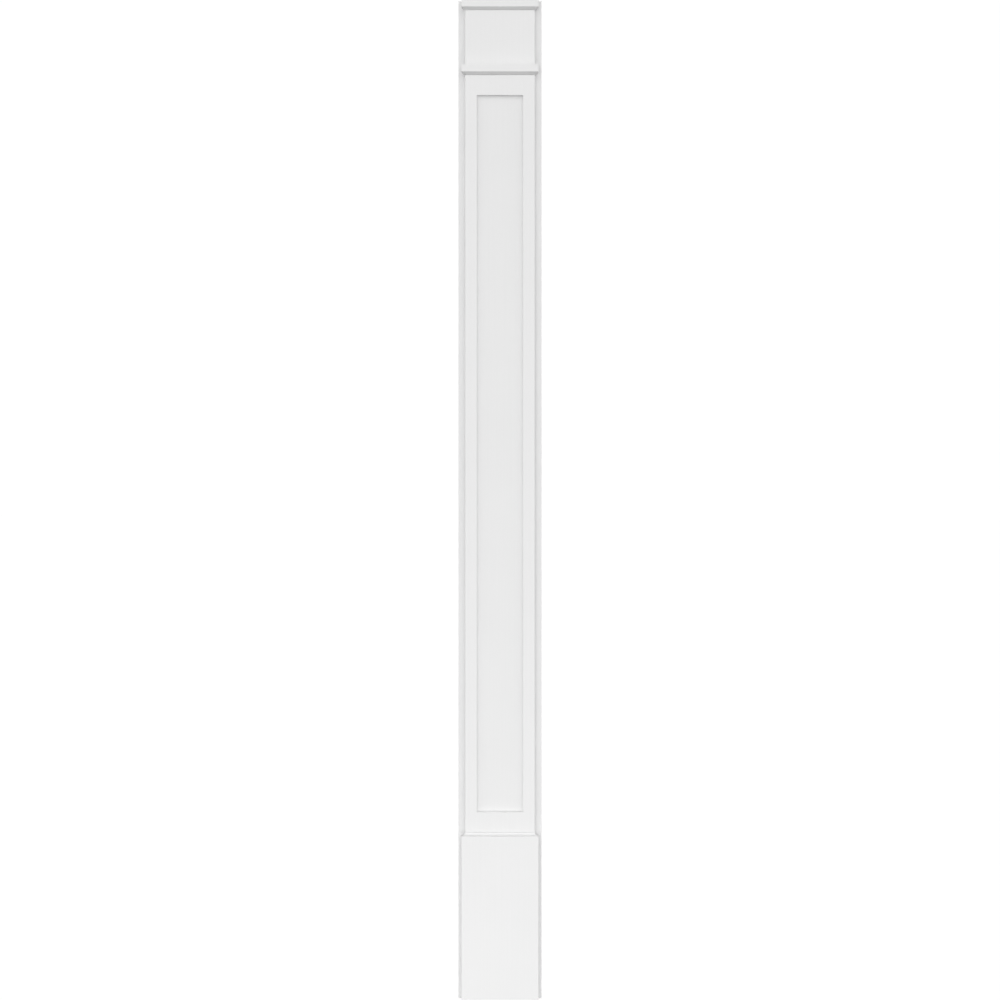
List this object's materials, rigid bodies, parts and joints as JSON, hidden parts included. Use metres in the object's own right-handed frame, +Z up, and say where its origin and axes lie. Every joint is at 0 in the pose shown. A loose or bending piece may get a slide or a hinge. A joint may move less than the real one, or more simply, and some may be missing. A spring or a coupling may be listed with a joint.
{
  "type": "pilaster",
  "caption": "White flat-panel pilaster with a plain back board, tall plinth, sunk-panel shaft, neck moulding, frieze and cap moulding, fixed flat against a wall beside a door.",
  "frame": {"origin": "middle of the back face, on the wall", "axes": "+Z up along the shaft, +Y into the wall, so the panelled face looks along -Y, +X across the width"},
  "size_m": [0.1778, 0.0464, 2.1336],
  "materials": {
    "white_pvc": "smooth matte white cellular PVC, paintable"
  },
  "bodies": {
    "root": {"back_board": "white_pvc", "plinth": "white_pvc", "shaft": "white_pvc", "neck_moulding": "white_pvc", "frieze": "white_pvc", "cap_moulding": "white_pvc"}
  },
  "joints": []
}
